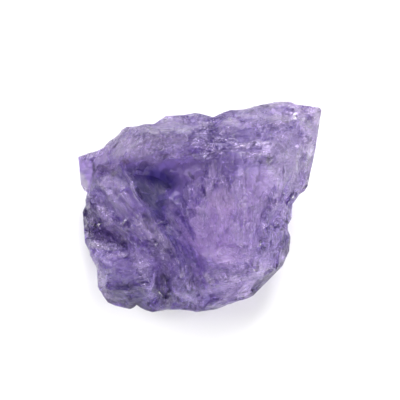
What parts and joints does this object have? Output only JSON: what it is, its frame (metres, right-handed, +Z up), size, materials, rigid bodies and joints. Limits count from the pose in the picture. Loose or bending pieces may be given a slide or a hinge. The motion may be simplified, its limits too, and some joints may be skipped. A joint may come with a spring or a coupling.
{
  "type": "rough scapolite crystal",
  "caption": "Irregular broken fragment of clear violet crystal with a rough, stepped upper side, a thin rim and a flat cleavage face to lie on.",
  "frame": {"origin": "under the middle of the fragment, on the surface that it lies on", "axes": "+X along the longest side, from the thin flake at the left end to the tall corner at the right; +Y towards the long upper edge; +Z up, away from the flat cleavage face"},
  "size_m": [0.0242, 0.021, 0.012],
  "materials": {
    "violet_scapolite": "vitreous broken surface, see-through violet crystal with cloudy fractures"
  },
  "bodies": {
    "root": {"scapolite_crystal": "violet_scapolite"}
  },
  "joints": []
}
